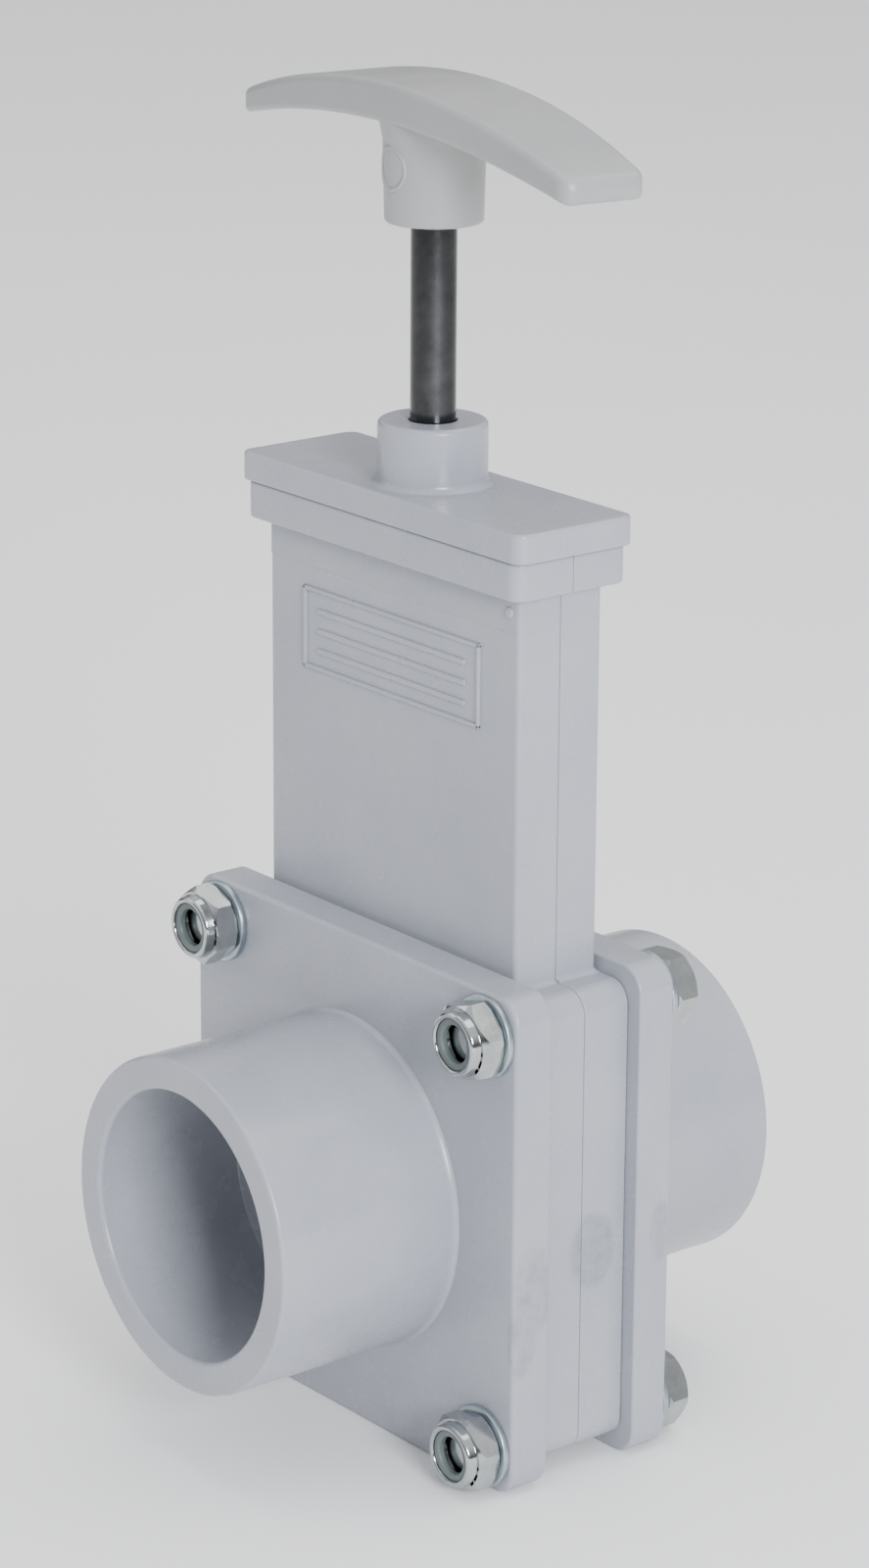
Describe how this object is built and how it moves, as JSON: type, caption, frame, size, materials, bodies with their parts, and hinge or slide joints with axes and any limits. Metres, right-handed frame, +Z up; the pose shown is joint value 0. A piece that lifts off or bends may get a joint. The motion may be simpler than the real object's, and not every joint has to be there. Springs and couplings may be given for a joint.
{
  "type": "knife gate valve",
  "caption": "Small plastic knife gate valve: a T-handle pulls a sliding steel blade up out of a straight bore between two bolted socket hubs",
  "frame": {"origin": "on the ground plane, centred under the valve body, with the valve standing on the bottom edges of its two end plates", "axes": "+Z up along the stem, Y along the flow with -Y towards the hub nearest the viewer (the lock-nut side), X across the end plates"},
  "size_m": [0.1066, 0.1098, 0.2388],
  "materials": {
    "pvc": "smooth moulded pale grey-white PVC, softly glossy",
    "handle_plastic": "moulded pale grey plastic, slightly satin",
    "stainless": "smooth rolled and ground stainless steel",
    "zinc_steel": "bright zinc-plated steel",
    "rubber": "black moulded rubber",
    "nylon": "grey-green nylon",
    "acetal": "off-white machined acetal"
  },
  "bodies": {
    "valve_body": {"front_housing": "pvc", "rear_housing": "pvc", "front_fitting": "pvc", "rear_fitting": "pvc", "top_cap": "pvc", "front_seat_ring": "rubber", "rear_seat_ring": "rubber", "stem_o_ring": "rubber", "stem_bushing": "acetal", "hex_bolt_1": "zinc_steel", "rear_washer_1": "zinc_steel", "front_washer_1": "zinc_steel", "lock_nut_1": "zinc_steel", "nut_liner_1": "nylon", "hex_bolt_2": "zinc_steel", "rear_washer_2": "zinc_steel", "front_washer_2": "zinc_steel", "lock_nut_2": "zinc_steel", "nut_liner_2": "nylon", "hex_bolt_3": "zinc_steel", "rear_washer_3": "zinc_steel", "front_washer_3": "zinc_steel", "lock_nut_3": "zinc_steel", "nut_liner_3": "nylon", "hex_bolt_4": "zinc_steel", "rear_washer_4": "zinc_steel", "front_washer_4": "zinc_steel", "lock_nut_4": "zinc_steel", "nut_liner_4": "nylon"},
    "gate": {"knife_blade": "stainless", "blade_carrier": "acetal", "carrier_pin_left": "stainless", "carrier_pin_right": "stainless"},
    "pull_stem": {"stem": "stainless", "t_handle": "handle_plastic"}
  },
  "joints": [
    {"name": "gate_slide", "type": "slide", "parent": "valve_body", "child": "gate", "axis": [0, 0, 1], "range_m": [-0.0332, 0.0104]},
    {"name": "stem_swivel", "type": "hinge", "parent": "gate", "child": "pull_stem", "pos_m": [0, 0, 0.14], "axis": [0, 0, 1], "continuous": true}
  ]
}
